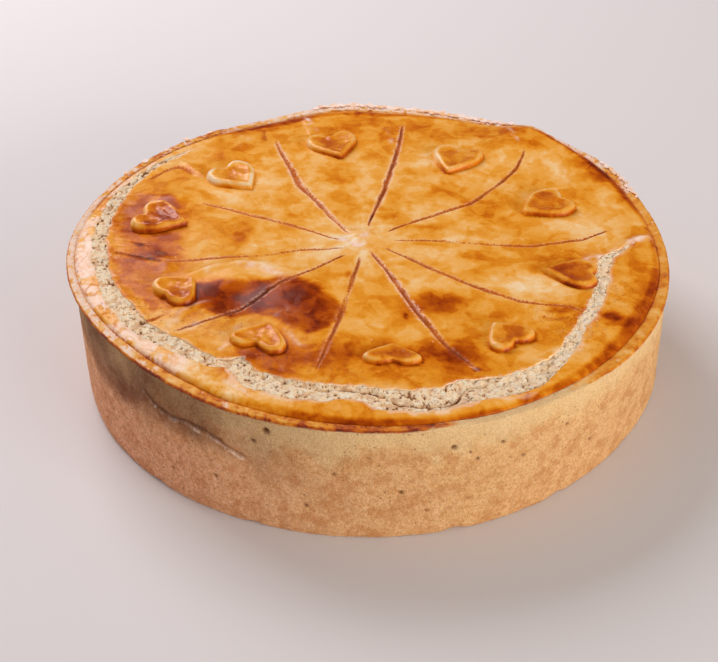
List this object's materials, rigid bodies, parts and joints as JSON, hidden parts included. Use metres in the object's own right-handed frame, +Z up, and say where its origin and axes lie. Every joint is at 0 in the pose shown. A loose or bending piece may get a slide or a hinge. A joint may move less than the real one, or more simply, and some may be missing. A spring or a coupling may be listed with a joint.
{
  "type": "chicken pie",
  "caption": "Round deep shortcrust pie with a glazed, scored lid, a torn crack round its edge and a ring of pastry hearts.",
  "frame": {"origin": "bottom centre of the pie, on the flat face that it rests on", "axes": "+Z up; -Y towards the picture's viewer; +X to the viewer's right"},
  "size_m": [0.2421, 0.239, 0.0593],
  "materials": {
    "baked_crust": "matte sandy shortcrust, pale gold towards the rim and tan lower down, with small pits",
    "glazed_lid": "egg-glazed pastry, satin gloss, golden with browned and burnt patches, and pale matte crumb in the torn crack",
    "glazed_heart": "egg-glazed pastry, satin gloss, browner on top and paler at the edges"
  },
  "bodies": {
    "root": {"crust_case": "baked_crust", "lid": "glazed_lid", "heart_01": "glazed_heart", "heart_02": "glazed_heart", "heart_03": "glazed_heart", "heart_04": "glazed_heart", "heart_05": "glazed_heart", "heart_06": "glazed_heart", "heart_07": "glazed_heart", "heart_08": "glazed_heart", "heart_09": "glazed_heart", "heart_10": "glazed_heart"}
  },
  "joints": []
}
